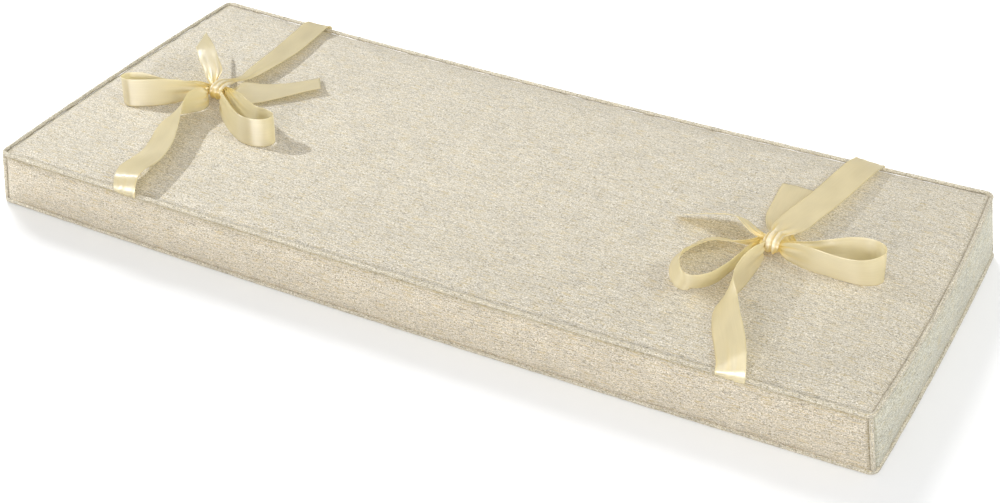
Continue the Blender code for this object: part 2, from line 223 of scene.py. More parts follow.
# painted shade: golden in the knot's folds; painted highlight: cream on the wrap's crests
PAINTED_FOLD_SHADE_COLOUR = (0.78, 0.60, 0.16)
PAINTED_CREST_HIGHLIGHT_COLOUR = (0.94, 0.91, 0.80)
THROUGH_COLOUR = (0.96, 0.89, 0.62, 1.0)
THROUGH_SHARE = 0.48
SATIN_BUMP = (0.25, 0.0003)
SATIN_SURFACE = {
    "Roughness": 0.44,
    "IOR": 2.0,
    "Specular IOR Level": 0.9,
    "Anisotropic": 0.9,
    "Anisotropic Rotation": 0.25,
}

GROUND_REACH = 8.0
GROUND_SURFACE = {"Base Color": (0.93, 0.94, 0.95, 1.0), "Roughness": 0.9, "Specular IOR Level": 0.0}
SURROUND_COLOUR = (1.0, 0.98, 0.955, 1.0)
SURROUND = 0.57

LIGHT_FORMS = {
    "cone": {"spot_size": math.radians(30), "spot_blend": 1.0, "shadow_soft_size": 0.05},
    "disk": {"shape": "DISK", "size": 0.9},
    "sky": {"shape": "DISK", "size": 3.2},
    "even": {"use_shadow": False},
    "lift": {"shape": "DISK", "size": 0.9, "use_shadow": False},
    "strip": {"shape": "RECTANGLE", "size": 3.0, "size_y": 0.9},
    "short_strip": {"shape": "RECTANGLE", "size": 0.8, "size_y": 0.9},
}
GLOSS_FORMS = ("strip", "short_strip")  # these show in the satin's gloss alone
WHITE = (1.0, 1.0, 1.0)
WARM = (1.0, 0.98, 0.95)
GLOSS = (1.0, 0.99, 0.97)

# name, kind, place, aim, power, colour, form, what it lights
LIGHTS = (
    # a small key on the left half, and soft lights from the right and the front
    ("key", "SPOT", (-2.14, -0.344, 1.68), (-0.34, 0.10, 0.07), 188.0, (0.95, 0.98, 1.0), "cone", "dressed"),
    ("fill_right", "AREA", (1.75, -0.10, 1.50), (0.30, 0.0, 0.0), 12.0, (0.95, 1.0, 0.97), "disk", "dressed"),
    ("front", "AREA", (0.5, -3.3, 1.10), (0.0, 0.0, 0.0), 47.0, WARM, "disk", "dressed"),
    # the ground has its own light, from behind, so that the cushion's soft shadow falls to the front
    ("back", "AREA", (-2.4, 2.3, 1.95), (0.0, -0.2, 0.0), 315.0, WHITE, "sky", "floor"),
    ("ground_light", "SUN", (0.0, 0.0, 3.0), (0.0, 0.0, 0.0), 0.50, (0.96, 1.0, 1.06), "even", "floor"),
    # a shadowless light lifts the shade under the ribbons
    ("lift", "AREA", (0.7, -0.1, 1.8), (0.4, 0.0, 0.0), 8.0, (1.0, 0.98, 0.96), "lift", None),
    # low strips of light, which the satin alone catches
    ("satin_low_wide", "AREA", (0.2, -2.2, 0.55), (0.0, 0.0, 0.12), 66.0, GLOSS, "strip", "ribbons"),
    ("satin_low_left", "AREA", (-0.45, -2.2, 0.55), (0.0, 0.0, 0.12), 26.0, GLOSS, "short_strip", "ribbons"),
    ("satin_low_back", "AREA", (-0.20, 2.4, 0.60), (0.0, 0.0, 0.12), 56.0, GLOSS, "short_strip", "upright"),
    # and soft lights on the right bow
    ("satin_right", "AREA", (1.3, -0.7, 0.60), (0.36, -0.05, 0.09), 6.5, WARM, "disk", "ribbons"),
    ("satin_left", "AREA", (-1.3, -0.7, 0.55), (0.33, -0.08, 0.09), 13.0, WARM, "disk", "right_bow"),
)

# ---------------------------------------------------------------- the ribbons' tables

# The middle of each bow's knot on the cushion, in mm.
LEFT_KNOT = (-389.0, -5.0)
RIGHT_KNOT = (360.0, -9.0)

# Every ribbon table has one row for each bend or fold. x and y are measured from the bow's knot, and z
# from the plane of the top welt. turn is the plan direction from the ribbon's first edge to its second,
# lift is that direction's rise, and width is how wide the gathered ribbon is there.
# x, y, z, turn, lift, width

# A back tie comes over the knot, goes down its front and under it, and leaves it upwards at the back.
KNOT_WRAP = (
    (0, 15.5, 20, 0, 0, 16),
    (0, 8.5, 22.6, 0, 0, 15),
    (0, 1, 23.2, 0, 0, 15),
    (0, -6.4, 22, 0, 0, 15),
    (0, -9.9, 17.5, 0, 0, 15),
    (0, -9.8, 12, 0, 0, 15),
    (0, -5.6, 8, 0, 0, 14),
    (0, 2.5, 7.8, 0, 0, 12),
    (-1, 8.4, 9.2, 0, 0, 9),
    (-3.5, 10.8, 11.8, 0, 40, 8.5),
    (-9, 11, 13.2, 0, 90, 8.5),
)
# A front tie passes through the wrap on edge, from the left to the right.
FRONT_LANE = (
    (-11.5, -11.6, 16.4, 60, 90, 12),
    (-9.8, -5.6, 16, 60, 90, 8),
    (0, -4.6, 15.4, 60, 90, 8),
    (9.4, -5.8, 15.6, 60, 90, 8.5),
)
# The far side of a right loop comes back through the wrap near its top, and leaves it at the left.
UPPER_LANE = (
    (10.5, 0, 19, 90, 10, 9),
    (0, 1.8, 19, 90, 0, 8),
    (-9, 3.2, 19.6, 90, 0, 8.5),
)
# The near side of a left loop comes back through the wrap near its floor, and leaves it at the right.
LOWER_LANE = (
    (-9.5, 0.3, 12.4, 90, 8, 8.5),
    (0, 2, 12.2, 90, 0, 8),
    (9.5, 4, 12, 90, 0, 9),
)

LEFT_FRONT_TIE = (
    # root in the front seam, over the welt and back along the top
    (33, -237.2, -2.4, -2, 0, 32),
    (33, -237.6, 1.5, -2, 2, 32),
    (32, -235, 8, -2, 4, 33),
    (30, -228, 15.5, -3, 8, 35),
    (28, -214, 20.5, -4, 9, 38),
    (29, -190, 20, 0, 6, 38),
    (23, -161, 18.5, 10, 14, 38),
    (12, -133, 18.5, 20, 23, 38),
    (-2, -104, 19.5, 22, 32, 38),
    # turns on edge, and gathers into the knot
    (-11, -80, 20.4, 12, 44, 38),
    (-11, -63, 21.2, 4, 60, 38),
    (-7, -49, 21.4, 0, 76, 37),
    (-2.5, -38, 19.6, 0, 88, 32),
    (-1.5, -27, 16.4, 0, 94, 24),
    (-5, -18.5, 15.8, 30, 92, 16),
    *FRONT_LANE,
    # near side of the right loop
    (12.5, -14, 16.8, 0, 88, 18),
    (19, -25, 18.8, 0, 82, 26),
    (31, -38, 20.8, 0, 80, 32),
    (49, -54, 22.8, 0, 80, 36),
    (70, -70, 23.6, 0, 84, 38),
    (90, -81, 23.8, 0, 88, 38),
    (110, -82, 23.8, 0, 90, 38),
    (124, -74, 23.8, 0, 90, 38),
    (126, -61, 23.8, 0, 90, 38),
    # far side of the right loop
    (113, -54, 23.8, 30, 90, 38),
    (94, -54, 23.6, 50, 84, 38),
    (70, -44, 22.6, 60, 74, 36),
    (45, -26, 20.4, 70, 62, 28),
    (22, -8, 19, 85, 40, 16),
    *UPPER_LANE,
    # free end, standing up towards the back
    (-14, 8.5, 21.6, 76, -6, 12),
    (-28, 27, 25, 68, -26, 28),
    (-47, 44, 31, 60, -34, 37),
    (-62, 57, 36, 57, -36, 38),
    (-75, 67, 39.5, 57, -36, 38),
)

LEFT_BACK_TIE = (
    # root in the back seam, over the welt and forward along the top
    (-5, 239.4, -7, -2, 0, 36),
    (-5, 242.6, -2.8, -2, 0, 36),
    (-4, 240, 3.6, -1, 2, 37),
    (-3, 229, 7.4, 0, 4, 38),
    (0, 207, 8.6, 0, 4, 38),
    (7, 144, 10.6, 0, 6, 38),
    (8, 84, 12.4, -4, 10, 34),
    (6, 46, 12.8, -4, 12, 25),
    (2, 28, 16.4, 0, 6, 17),
    *KNOT_WRAP,
    # far side of the left loop
    (-16, 4.5, 13.4, 0, 90, 9),
    (-26, -10, 16.6, 0, 90, 20),
    (-39, -28, 18.8, 0, 88, 28),
    (-57, -41, 21.4, 0, 90, 33),
    (-80, -48, 23.8, 0, 90, 38),
    (-98, -57, 23.8, 0, 90, 38),
    # near side of the left loop
    (-101, -67, 23.8, 0, 90, 38),
    (-90, -72, 23.8, 0, 90, 38),
    (-70, -63, 23.8, 0, 90, 38),
    (-50, -47, 23, 30, 86, 37),
    (-32, -28, 19.8, 60, 80, 28),
    (-19, -10.5, 15.5, 80, 50, 14),
    *LOWER_LANE,
    # free end, nearly flat on the top panel
    (16, 6, 12.8, 105, 8, 17),
    (26, 8, 14.6, 120, 17, 34),
    (38, 15, 14, 132, 17, 38),
    (52, 30, 11.6, 134, 6, 38),
    (67, 48, 10.2, 134, -3, 38),
    (82, 67, 9.8, 134, -8, 38),
    (97, 85, 9.8, 134, -9, 38),
)

RIGHT_FRONT_TIE = (
    # root in the front seam, over the welt and back along the top
    (43, -231.6, -1.4, -3, -2, 33),
    (43, -231.9, 2.5, -3, 2, 33),
    (42, -229.2, 8, -2, 12, 33),
    (38, -218.5, 14.5, 4, 27, 34),
    (27, -196, 17.6, 20, 38, 37),
    (11, -167, 19.4, 26, 45, 38),
    (-1, -140, 20.5, 16, 52, 38),
    # turns over on edge, and gathers into the knot
    (-7, -121, 22.8, 6, 70, 38),
    (-5, -102, 23.6, 4, 92, 38),
    (-4, -78, 23.8, 4, 97, 38),
    (-2.5, -54, 22.6, 4, 95, 36),
    (-1, -34, 19.8, 4, 92, 29),
    (-3.5, -20.5, 17.2, 30, 90, 20),
    *FRONT_LANE,
    # near side of the right loop, whose top leans outwards
    (16.5, -11.5, 16.8, 90, 92, 19),
    (30, -17, 20, 90, 98, 29),
    (48, -22, 22.8, 90, 104, 37),
    (72, -24, 22.8, 90, 107, 38),
    (90, -25, 23, 90, 107, 38),
    (108, -22, 23, 80, 104, 38),
    (121, -13, 23.4, 70, 100, 38),
    (127, -1, 23.6, 60, 94, 38),
    # far side of the right loop
    (122, 11, 23.8, 60, 90, 38),
    (107, 17, 23.6, 70, 88, 38),
    (87, 12, 23, 80, 84, 38),
    (67, 2, 21.2, 90, 78, 34),
    (46, -4, 18.8, 90, 66, 26),
    (26, -3, 18, 90, 44, 17),
    *UPPER_LANE,
    # free end, with its near edge raised
    (-15, 2.2, 20, 88, -4, 11),
    (-23, 5, 21, 96, -14, 20),
    (-33, 12, 22, 102, -22, 30),
    (-45, 20, 22.6, 106, -28, 37),
    (-58, 23, 22, 108, -32, 38),
    (-77, 19.4, 20.2, 108, -33, 38),
    (-95, 13, 18, 108, -32, 38),
    (-110, 6, 16, 108, -31, 38),
)

RIGHT_BACK_TIE = (
    # root in the back seam, over the welt and forward along the top
    (34, 243.4, -7, -3, 0, 36),
    (34, 245.8, -3, -4, 0, 36),
    (34, 245, 1.8, -4, -1, 36),
    (34, 239.5, 4.8, -6, -2, 36),
    (34, 230, 7.6, -8, -2, 37),
    (32, 208, 12, -8, -2, 38),
    (20, 112, 17, -8, 0, 38),
    (12, 70, 18.5, -8, 0, 38),
    (6.5, 38, 19.5, -8, 0, 37),
    (2.5, 25, 20.2, -6, 0, 29),
    *KNOT_WRAP,
    # far side of the left loop, which leans towards the front
    (-16, 4.5, 13, -20, 84, 9),
    (-27, -9, 14.6, -60, 52, 18),
    (-42, -15.5, 15, -66, 33, 32),
    (-59, -21, 15, -66, 27, 38),
    (-71, -41, 16.6, -50, 36, 38),
    (-77, -70, 19.8, -36, 44, 38),
    (-74, -98, 23, -36, 62, 38),
    (-63, -117, 23.6, -50, 62, 38),
    # near side of the left loop
    (-50, -124, 23, -70, 56, 38),
    (-39, -118, 23, -60, 56, 38),
    (-31, -106, 22.4, -30, 62, 38),
    (-24, -90, 22.6, -12, 67, 38),
    (-20.5, -68, 21.6, -12, 68, 36),
    (-18.5, -40, 18.6, -5, 70, 27),
    (-18, -15, 14.6, 50, 56, 13),
    *LOWER_LANE,
    # free end, which turns back under the strap and lies on the top panel
    (15.5, 8, 11.4, 130, 0, 11),
    (16, 16, 10.6, 190, 0, 13),
    (9, 24, 9.6, 235, 0, 17),
    (-2, 36, 8.6, 225, 0, 27),
    (-12, 62, 7.4, 200, 0, 37),
    (-17, 100, 6.8, 190, 0, 38),
    (-21, 140, 6.6, 188, 0, 38),
)

# cut is how far the slanted end runs (positive leaves the second edge longer); below the painted shade height
# the knot's wrap is painted in golden shade, and above it its crests take painted cream highlights; both are
# in mm.
# name, rows, knot, cut, painted_shade_height, seed
TIES = (
    ("left_front_tie", LEFT_FRONT_TIE, LEFT_KNOT, 56, 17, 3),
    ("left_back_tie", LEFT_BACK_TIE, LEFT_KNOT, 10, 17, 5),
    ("right_front_tie", RIGHT_FRONT_TIE, RIGHT_KNOT, 16, 11, 7),
    ("right_back_tie", RIGHT_BACK_TIE, RIGHT_KNOT, 4, 11, 11),
)

# ---------------------------------------------------------------- materials


def add_node(tree, kind, inputs=None, **settings):
    """A shader node with its settings, and its inputs set to values or linked to sockets."""
    node = tree.nodes.new("ShaderNode" + kind)
    for name, value in settings.items():
        setattr(node, name, value)
    for name, value in (inputs or {}).items():
        socket = node.inputs[name]
        if isinstance(value, bpy.types.NodeSocket):
            tree.links.new(value, socket)
        else:
            socket.default_value = value
    return node


def ramp(tree, factor, *stops):
    """A colour ramp through stops of (position, colour or grey)."""
    node = add_node(tree, "ValToRGB", {"Fac": factor})
    elements = node.color_ramp.elements
    while len(elements) < len(stops):
        elements.new(0.5)
    for element, (position, colour) in zip(elements, stops):
        element.position = position
        rgb = colour if isinstance(colour, tuple) else (colour,) * 3
        element.color = (*rgb, 1.0)
    return node.outputs["Color"]


def mix_colour(tree, factor, first, second, blend="MIX"):
    """One colour mixed over another."""
    node = tree.nodes.new("ShaderNodeMix")
    node.data_type = "RGBA"
    node.blend_type = blend
    for index, value in ((0, factor), (6, first), (7, second)):
        socket = node.inputs[index]
        if isinstance(value, bpy.types.NodeSocket):
            tree.links.new(value, socket)
        elif index == 0:
            socket.default_value = value
        else:
            socket.default_value = (*value, 1.0)
    return node.outputs[2]


def math_node(tree, operation, *values):
    """A maths node, whose inputs are numbers or sockets."""
    node = add_node(tree, "Math", operation=operation)
    for socket, value in zip(node.inputs, values):
        if isinstance(value, bpy.types.NodeSocket):
            tree.links.new(value, socket)
        else:
            socket.default_value = value
    return node.outputs["Value"]


def dashes(tree, place, length, width, detail, offset):
    """Noise drawn out along the weft: patches of about length by width, in metres."""
    start, scale = (offset, offset, 0), (1 / length, 1 / width, 1)
    stretched = add_node(tree, "Mapping", {"Vector": place, "Location": start, "Scale": scale})
    inputs = {"Vector": stretched.outputs["Vector"], "Scale": 1.0, "Detail": detail}
    noise = add_node(tree, "TexNoise", inputs)
    noise.noise_dimensions = "2D"
    return noise.outputs["Fac"]


def new_material(name, surface):
    """A new node material whose main shader has the given values, with its tree and that shader."""
    material = bpy.data.materials.new(name)
    material.use_nodes = True
    tree = material.node_tree
    shader = tree.nodes["Principled BSDF"]
    for socket, value in surface.items():
        shader.inputs[socket].default_value = value
    return material, tree, shader


def weft_floats(tree, place, wobble, length, width):
    """A random grey for each float of the weft, in rows that start at random places."""
    parts = add_node(tree, "SeparateXYZ", {"Vector": place})
    height = math_node(tree, "ADD", math_node(tree, "DIVIDE", parts.outputs["Y"], width), wobble)
    row = math_node(tree, "FLOOR", height)
    start = add_node(tree, "TexWhiteNoise", {"W": row}, noise_dimensions="1D").outputs["Value"]
    run = math_node(tree, "DIVIDE", parts.outputs["X"], length)
    column = math_node(tree, "FLOOR", math_node(tree, "MULTIPLY_ADD", start, FLOAT_STARTS, run))
    cell = add_node(tree, "CombineXYZ", {"X": column, "Y": row}).outputs["Vector"]
    return add_node(tree, "TexWhiteNoise", {"Vector": cell}, noise_dimensions="2D").outputs["Value"]


def multiply(tree, colour, factor, share=1.0):
    """A colour multiplied by another, or by a grey, as far as its share goes."""
    return mix_colour(tree, share, colour, factor, "MULTIPLY")


def set_bump(tree, shader, height, strength, distance):
    """Gives a shader a light bump, and returns its normal."""
    bump = add_node(tree, "Bump", {"Height": height, "Strength": strength, "Distance": distance})
    tree.links.new(bump.outputs["Normal"], shader.inputs["Normal"])
    return bump.outputs["Normal"]


def cloth_material(name, tint, ochre):
    """Heathered slub cloth: cream and beige weft dashes, tan and grey flecks, a fuzzy matte surface."""
    material, tree, shader = new_material(name, CLOTH_SURFACE)
    place = add_node(tree, "UVMap", uv_map="weave").outputs["UV"]
    noise = {part: dashes(tree, place, *row) for part, row in CLOTH_DASHES.items()}
    wobble = math_node(tree, "MULTIPLY", noise["wobble"], CLOTH_WOBBLE)
    floats = weft_floats(tree, place, wobble, *CLOTH_FLOAT)
    colour = ramp(tree, noise["slub"], *SLUB_COLOURS)
    colour = multiply(tree, colour, ramp(tree, floats, *THREAD_GREYS))
    colour = multiply(tree, colour, ramp(tree, noise["yarn"], *FLECK_GREYS), FLECK_SHARE)
    colour = multiply(tree, colour, ramp(tree, noise["streak"], *HEATHER_GREYS))
    ochre_share = math_node(tree, "MULTIPLY", ramp(tree, noise["warm"], *OCHRE_PLACES), ochre)
    colour = mix_colour(tree, ochre_share, colour, OCHRE)
    colour = multiply(tree, colour, ramp(tree, noise["cloud"], *CLOUD_GREYS))
    colour = multiply(tree, colour, tint)
    # painted shade: each face of the boxing lighter or darker for how the light falls on it
    colour = multiply(tree, colour, add_node(tree, "Attribute", attribute_name="painted_shade").outputs["Color"])
    # painted shade: the cloth darkened beside the welts, where their crevices fall in shade
    seam_painted_shade = add_node(tree, "Attribute", attribute_name="seam_painted_shade").outputs["Fac"]
    colour = mix_colour(tree, math_node(tree, "MULTIPLY", seam_painted_shade, SEAM_PAINTED_SHADE_SHARE), colour, SEAM_PAINTED_SHADE_COLOUR)
    tree.links.new(colour, shader.inputs["Base Color"])
    float_height = math_node(tree, "MULTIPLY", floats, CLOTH_FLOAT_HEIGHT)
    set_bump(tree, shader, math_node(tree, "ADD", noise["slub"], float_height), *CLOTH_BUMP)
    return material


def satin_material(name):
    """Pale yellow satin: long floats along the ribbon, a woven selvedge, painted golden shade in the knot's
    folds, painted cream highlights on its crests, and light that comes through.
    """
    material, tree, shader = new_material(name, SATIN_SURFACE)
    place = add_node(tree, "UVMap", uv_map="weave").outputs["UV"]
    noise = {part: dashes(tree, place, *row) for part, row in SATIN_DASHES.items()}
    colour = ramp(tree, noise["floats"], *SATIN_COLOURS)
    colour = multiply(tree, colour, ramp(tree, noise["cloud"], *SATIN_CLOUD))
    edge = add_node(tree, "Attribute", attribute_name="selvedge").outputs["Fac"]
    colour = mix_colour(tree, math_node(tree, "MULTIPLY", edge, SELVEDGE_SHARE), colour, SELVEDGE_COLOUR)
    # painted shade: golden in the folds' valleys, where the ribbon enters the knot and low on the wrap
    painted_fold_shade = add_node(tree, "Attribute", attribute_name="painted_fold_shade").outputs["Fac"]
    colour = mix_colour(tree, painted_fold_shade, colour, PAINTED_FOLD_SHADE_COLOUR)
    # painted highlight: cream on the crests of the wrap's folds, above the painted shade height
    painted_crest_highlight = add_node(tree, "Attribute", attribute_name="painted_crest_highlight").outputs["Fac"]
    colour = mix_colour(tree, painted_crest_highlight, colour, PAINTED_CREST_HIGHLIGHT_COLOUR)
    tree.links.new(colour, shader.inputs["Base Color"])
    edge_height = math_node(tree, "MULTIPLY", edge, SELVEDGE_HEIGHT)
    normal = set_bump(tree, shader, math_node(tree, "ADD", noise["floats"], edge_height), *SATIN_BUMP)
    tangent = add_node(tree, "Tangent", direction_type="UV_MAP", uv_map="weave")
    tree.links.new(tangent.outputs["Tangent"], shader.inputs["Tangent"])
    through = add_node(tree, "BsdfTranslucent", {"Color": THROUGH_COLOUR, "Normal": normal})
    both = add_node(tree, "MixShader", {"Fac": THROUGH_SHARE})
    tree.links.new(shader.outputs["BSDF"], both.inputs[1])
    tree.links.new(through.outputs["BSDF"], both.inputs[2])
    tree.links.new(both.outputs["Shader"], tree.nodes["Material Output"].inputs["Surface"])
    return material


# ---------------------------------------------------------------- the cover


def corner_shift(u, v, w):
    """The corners' shifts, blended over the box. u and v run from -1 to 1 and w from 0 to 1."""
    total = np.zeros((len(u), 3))
    for side, end, level, *shift in CORNER_SHIFT:
        share = (1 + side * u) / 2 * (1 + end * v) / 2 * (w if level else 1 - w)
        total += share[:, None] * np.array(shift)
    return total * MM


def cover_points(points):
    """Where points of the plain box lie on the sewn and filled cushion."""
    x, y, z = points.T
    u, v, w = x / HALF_L, y / HALF_D, z / THICK
    front, back = np.maximum(-v, 0) ** 2, np.maximum(v, 0) ** 2
    left, right = np.maximum(-u, 0) ** 2, np.maximum(u, 0) ** 2
    along_x, along_y = 1 - u * u, 1 - v * v
    swell = SIDE_SWELL * 4 * w * (1 - w)
    power_x, power_y = CROWN_POWERS
    right_bow = RIGHT_LOW_BOW + (RIGHT_BOW - RIGHT_LOW_BOW) * w
    dx = along_y * (right_bow * right - LEFT_BOW * left) + swell * (right - left) * (1 - v**power_x)
    dy = along_x * (BACK_BOW * back - FRONT_BOW * front) + swell * (back - front) * (1 - u**power_x)
    dz = w * (CROWN * (1 - u**power_x) * (1 - v**power_y) - BACK_SAG * along_x * back)
    return points + np.stack((dx, dy, dz), axis=1) + corner_shift(u, v, w)


def grid_lines(half):
    """Grid lines from -half to half: close together at the seams and a step apart between them."""
    edge = np.array(EDGE_LINES)
    inner = half - edge[-1]
    middle = np.linspace(-inner, inner, max(2, round(2 * inner / GRID_STEP)) + 1)
    return np.concatenate((edge[:-1] - half, middle, (half - edge[:-1])[::-1]))


def shell_grid(xs, ys, zs):
    """Points, faces and panel numbers of a box's surface, cut along the given lines."""
    index, points, faces, panels = {}, [], [], []

    def at(i, j, k):
        if (i, j, k) not in index:
            index[i, j, k] = len(points)
            points.append((xs[i], ys[j], zs[k]))
        return index[i, j, k]

    last_i, last_j, last_k = len(xs) - 1, len(ys) - 1, len(zs) - 1
    for i in range(last_i):
        for j in range(last_j):
            ring = ((i, j), (i + 1, j), (i + 1, j + 1), (i, j + 1))
            faces.append([at(a, b, last_k) for a, b in ring])
            faces.append([at(a, b, 0) for a, b in ring[::-1]])
            panels += [TOP, BOTTOM]
    for i in range(last_i):
        for k in range(last_k):
            ring = ((i, k), (i + 1, k), (i + 1, k + 1), (i, k + 1))
            faces.append([at(a, 0, b) for a, b in ring])
            faces.append([at(a, last_j, b) for a, b in ring[::-1]])
            panels += [FRONT, BACK]
    for j in range(last_j):
        for k in range(last_k):
            ring = ((j, k), (j + 1, k), (j + 1, k + 1), (j, k + 1))
            faces.append([at(last_i, a, b) for a, b in ring])
            faces.append([at(0, a, b) for a, b in ring[::-1]])
            panels += [RIGHT, LEFT]
    return np.array(points), faces, np.array(panels)


def fall(distance, depth):
    """How deep a seam still draws the cloth in, at a distance from it."""
    return depth * (1 - distance / np.hypot(distance, depth))


def draw_to_seams(points):
    """Rounds the box's edges down into the seams, where the welts sit."""
    x, y, z = points.T
    ex, ey, top, low = HALF_L - abs(x), HALF_D - abs(y), THICK - z, z
    in_x = np.maximum.reduce((fall(top, TOP_SEAM), fall(low, BOTTOM_SEAM_IN), fall(ey, POST_SEAM)))
    in_y = np.maximum.reduce((fall(top, TOP_SEAM), fall(low, BOTTOM_SEAM_IN), fall(ex, POST_SEAM)))
    down = np.maximum(fall(ex, TOP_SEAM), fall(ey, TOP_SEAM))
    up = np.maximum(fall(ex, BOTTOM_SEAM_UP), fall(ey, BOTTOM_SEAM_UP))
    drawn = points.copy()
    drawn[:, 0] = np.sign(x) * (HALF_L - np.hypot(ex, in_x))
    drawn[:, 1] = np.sign(y) * (HALF_D - np.hypot(ey, in_y))
    middle = THICK / 2
    drawn[:, 2] = np.where(z > middle, THICK - np.hypot(top, down), np.hypot(low, up))
    return drawn


def seam_distance(points):
    """How far each point of the box's surface lies from the nearest edge of its panel."""
    x, y, z = points.T
    gaps = np.sort(np.stack((HALF_L - abs(x), HALF_D - abs(y), THICK - z, z)), axis=0)
    return gaps[1]


def seam_shade(points):
    """How dark the painted shade beside the nearest seams is at each point of the box's surface."""
    x, y, z = points.T
    on_panel = (z > THICK - TINY) | (z < TINY)
    corner = np.where(HALF_L - abs(x) < TINY, HALF_D - abs(y), HALF_L - abs(x))
    rows = (
        (on_panel, x + HALF_L, PANEL_SHADES["left"]),
        (on_panel, HALF_L - x, PANEL_SHADES["right"]),
        (on_panel, y + HALF_D, PANEL_SHADES["front"]),
        (on_panel, HALF_D - y, PANEL_SHADES["back"]),
        (~on_panel, THICK - z, BOXING_SHADES["top"]),
        (~on_panel, z, BOXING_SHADES["bottom"]),
        (~on_panel, corner, BOXING_SHADES["corner"]),
    )
    shades = [where * painted_shade * np.exp(-((gap / SEAM_LINE) ** 2)) for where, gap, painted_shade in rows]
    return np.maximum.reduce(shades)


def weave_map(mesh, flat):
    """Gives every face corner its place on the flat cloth, in metres."""
    layer = mesh.uv_layers.new(name="weave")
    layer.data.foreach_set("uv", np.asarray(flat, float).ravel())


def vertex_value(mesh, name, values):
    """Stores one number for each vertex."""
    attribute = mesh.attributes.new(name, "FLOAT", "POINT")
    attribute.data.foreach_set("value", np.asarray(values, float))


def vertex_tint(mesh, name, colours):
    """Stores one colour for each vertex."""
    attribute = mesh.attributes.new(name, "FLOAT_COLOR", "POINT")
    rgba = np.column_stack((colours, np.ones(len(colours))))
    attribute.data.foreach_set("color", rgba.ravel())


def new_object(name, points, faces, material):
    """A smooth mesh object with one material."""
    mesh = bpy.data.meshes.new(name)
    mesh.from_pydata([tuple(p) for p in points], [], [tuple(f) for f in faces])
    mesh.materials.append(material)
    mesh.shade_smooth()
    obj = bpy.data.objects.new(name, mesh)
    bpy.context.scene.collection.objects.link(obj)
    return obj


def apply_modifiers(obj):
    """Replaces an object's mesh by what its modifiers make of it."""
    graph = bpy.context.evaluated_depsgraph_get()
    mesh = bpy.data.meshes.new_from_object(obj.evaluated_get(graph), depsgraph=graph)
    old = obj.data
    obj.modifiers.clear()
    obj.data = mesh
    bpy.data.meshes.remove(old)
    mesh.name = obj.name


def fill_cover(obj, held):
    """Swells the cover over its filling as simulated cloth: the held points stay, and no move is large."""
    seams = obj.vertex_groups.new(name="held")
    seams.add(np.flatnonzero(held).tolist(), 1.0, "REPLACE")
    cloth = obj.modifiers.new("filling", "CLOTH")
    settings = cloth.settings
    settings.use_pressure = True
    settings.uniform_pressure_force = FILL_PRESSURE
    settings.vertex_group_mass = seams.name
    settings.shrink_min = -CLOTH_EASE
    settings.shrink_max = -CLOTH_EASE
    settings.tension_stiffness = FILL_STIFFNESS
    settings.compression_stiffness = FILL_STIFFNESS
    settings.bending_stiffness = FILL_BENDING
    settings.effector_weights.gravity = 0
    cloth.collision_settings.use_collision = False
    cloth.collision_settings.use_self_collision = False
    before = vertex_places(obj.data)
    for number in range(1, FILL_FRAMES + 1):
        bpy.context.scene.frame_set(number)
    swollen = obj.evaluated_get(bpy.context.evaluated_depsgraph_get())
    moves = vertex_places(swollen.data) - before
    obj.modifiers.remove(cloth)
    obj.vertex_groups.remove(seams)
    bpy.context.scene.frame_set(1)
    reach = np.maximum(np.linalg.norm(moves, axis=1), STILL)[:, None]
    moves *= FILL_CROWN * np.tanh(reach / FILL_CROWN) / reach
    obj.data.vertices.foreach_set("co", (before + moves).ravel())
    obj.data.update()


def vertex_places(mesh):
    """The places of a mesh's vertices."""
    places = np.empty(3 * len(mesh.vertices))
    mesh.vertices.foreach_get("co", places)
    return places.reshape(-1, 3)


def build_cover():
    """The sewn cover over its filling."""
    heights = grid_lines(THICK / 2) + THICK / 2
    box, faces, panels = shell_grid(grid_lines(HALF_L), grid_lines(HALF_D), heights)
    distance = seam_distance(box)
    points = cover_points(draw_to_seams(box))
    obj = new_object("cushion_cover", points, faces, cloth_material(*CUSHION_CLOTH))
    mesh = obj.data
    corners = np.array(faces)
    x, y, z = box[corners].transpose(2, 0, 1)
    panel = panels[:, None]
    along = np.where(panel < RIGHT, x, y)
    across = np.where(panel < FRONT, y, z)
    flat = np.stack((along + CUT_APART[0] * panel, across + CUT_APART[1] * panel), axis=-1)
    weave_map(mesh, flat)
    # painted shade beside the seams
    vertex_value(mesh, "seam_painted_shade", seam_shade(box))
    # painted shade: the front and right faces tinted for how the light falls on them
    painted_side_shades = np.ones((len(box), 3))
    painted_side_shades[box[:, 1] < TINY - HALF_D] = FRONT_PAINTED_SHADE
    painted_side_shades[box[:, 0] > HALF_L - TINY] = RIGHT_PAINTED_SHADE
    vertex_tint(mesh, "painted_shade", painted_side_shades)
    fill_cover(obj, (distance < TINY) | (box[:, 2] < TINY))
    subdivide = obj.modifiers.new("fine", "SUBSURF")
    subdivide.levels = 1
    subdivide.render_levels = 1
    apply_modifiers(obj)
    obj.data.shade_smooth()
    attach(obj, "root")
    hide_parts("cushion_body")
    return obj


# ---------------------------------------------------------------- the welts


